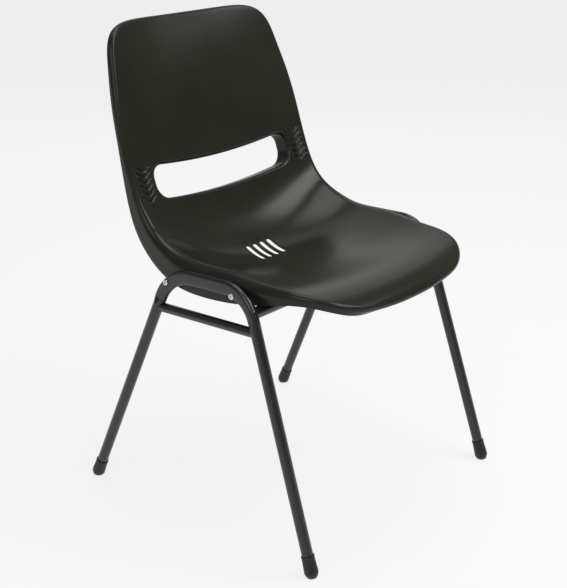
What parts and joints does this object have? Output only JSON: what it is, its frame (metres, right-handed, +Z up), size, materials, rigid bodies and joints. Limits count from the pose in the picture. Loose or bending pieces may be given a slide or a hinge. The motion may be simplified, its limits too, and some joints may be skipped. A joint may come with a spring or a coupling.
{
  "type": "stacking shell chair",
  "caption": "Stacking chair with a moulded plastic shell, a waist slot and wavy flex grooves, screwed to a welded tube frame with pressed side arches and rubber foot tips.",
  "frame": {"origin": "on the floor, at the middle of the chair's width and depth", "axes": "+Z up, the sitter faces -Y, the sitter's left is +X"},
  "size_m": [0.5514, 0.5333, 0.8187],
  "materials": {
    "shell_plastic": "fine matt grain with a soft sheen",
    "frame_coat": "black powder coat, semi gloss",
    "tip_rubber": "matt black",
    "zinc": "bright zinc plate"
  },
  "bodies": {
    "root": {"seat_shell": "shell_plastic", "side_frame_left": "frame_coat", "side_frame_right": "frame_coat", "stretcher_left": "frame_coat", "stretcher_right": "frame_coat", "cross_tube": "frame_coat", "foot_tip_front_left": "tip_rubber", "foot_tip_front_right": "tip_rubber", "foot_tip_rear_left": "tip_rubber", "foot_tip_rear_right": "tip_rubber", "screw_front_left": "zinc", "screw_front_right": "zinc", "screw_rear_left": "zinc", "screw_rear_right": "zinc"}
  },
  "joints": []
}
